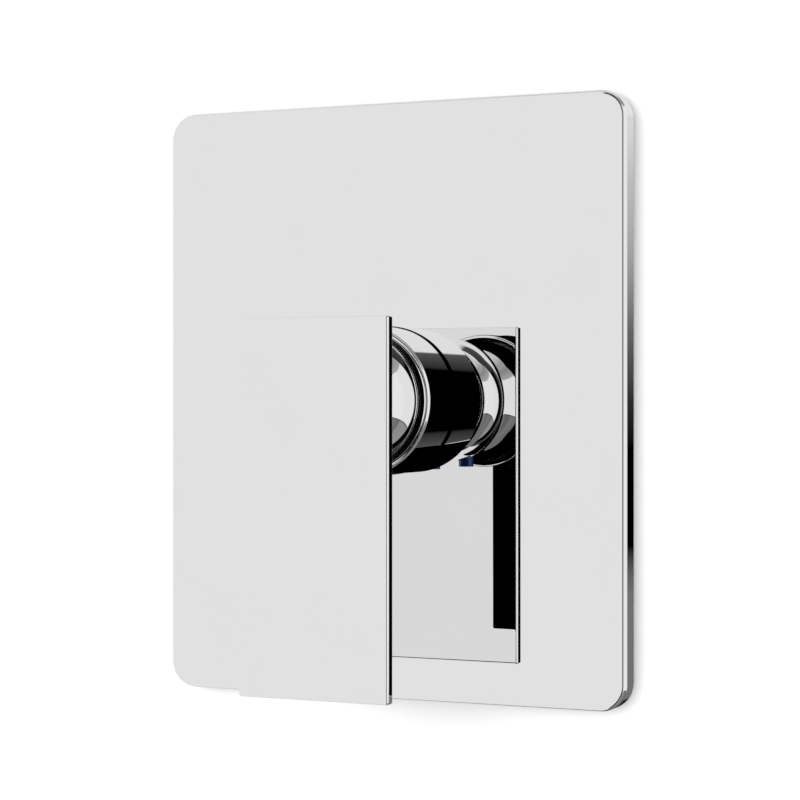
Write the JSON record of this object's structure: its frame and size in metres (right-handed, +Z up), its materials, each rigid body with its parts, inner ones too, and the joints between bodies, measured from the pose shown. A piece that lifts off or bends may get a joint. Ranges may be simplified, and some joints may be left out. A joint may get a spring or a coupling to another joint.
{
  "type": "shower valve trim kit",
  "caption": "Single-lever concealed shower mixer trim: mirror-chrome rectangular faceplate, round hub and flat lever that lifts for flow and turns for temperature.",
  "frame": {"origin": "on the hub's axis, in the plane of the finished wall, at the centre of the four wall screws", "axes": "+Z up, the front of the trim faces -Y, +X to the right as seen from the front"},
  "size_m": [0.15, 0.0986, 0.18],
  "materials": {
    "plate_chrome": "polished chrome plate",
    "hub_chrome": "polished chrome plate",
    "lever_chrome": "polished chrome plate",
    "cover_chrome": "polished chrome plate",
    "index_blue": "gloss blue plastic",
    "black_rubber": "matt nitrile rubber",
    "grey_foam": "closed-cell sealing strip",
    "frame_plastic": "fine matt moulding",
    "cartridge_plastic": "glass-filled moulding",
    "base_plastic": "glass-filled moulding",
    "slider_plastic": "acetal moulding",
    "limit_red": "red moulding",
    "valve_plastic": "white moulding",
    "ceramic_white": "lapped ceramic",
    "raw_brass": "turned brass",
    "screw_steel": "stainless steel",
    "spring_steel": "sprung stainless strip",
    "grub_steel": "black oxide steel"
  },
  "bodies": {
    "root": {"faceplate": "plate_chrome", "plate_gasket": "grey_foam", "mounting_frame": "frame_plastic", "frame_screws": "screw_steel", "plate_clips": "spring_steel", "hub_sleeve": "hub_chrome", "sleeve_oring": "black_rubber", "cover_ring": "cover_chrome", "retaining_nut": "raw_brass", "function_block": "raw_brass", "block_screws": "screw_steel", "spigot_orings": "black_rubber", "check_valves": "valve_plastic", "inlet_strainers": "screw_steel", "cartridge_housing": "cartridge_plastic", "cartridge_base": "base_plastic", "port_seal": "black_rubber", "fixed_disc": "ceramic_white", "limit_ring": "limit_red"},
    "turner": {"stem_carrier": "valve_plastic", "pivot_pin": "screw_steel", "carrier_oring": "black_rubber"},
    "handle": {"stem": "screw_steel", "lever": "lever_chrome", "stem_insert": "raw_brass", "grub_screw": "grub_steel", "index_plug": "index_blue"},
    "disc_unit": {"disc_slider": "slider_plastic", "moving_disc": "ceramic_white"}
  },
  "joints": [
    {"name": "temperature_turn", "type": "hinge", "parent": "root", "child": "turner", "pos_m": [0, 0, 0], "axis": [0, 1, 0], "range_deg": [-45, 45]},
    {"name": "flow_lift", "type": "hinge", "parent": "turner", "child": "handle", "pos_m": [0, -0.033, 0], "axis": [-1, 0, 0], "range_deg": [0, 15]},
    {"name": "disc_slide", "type": "slide", "parent": "turner", "child": "disc_unit", "axis": [0, 0, -1], "range_m": [0, 0.0055]}
  ],
  "couplings": [
    {"joint": "disc_slide", "follows": "flow_lift", "m_per_rad": 0.021}
  ]
}
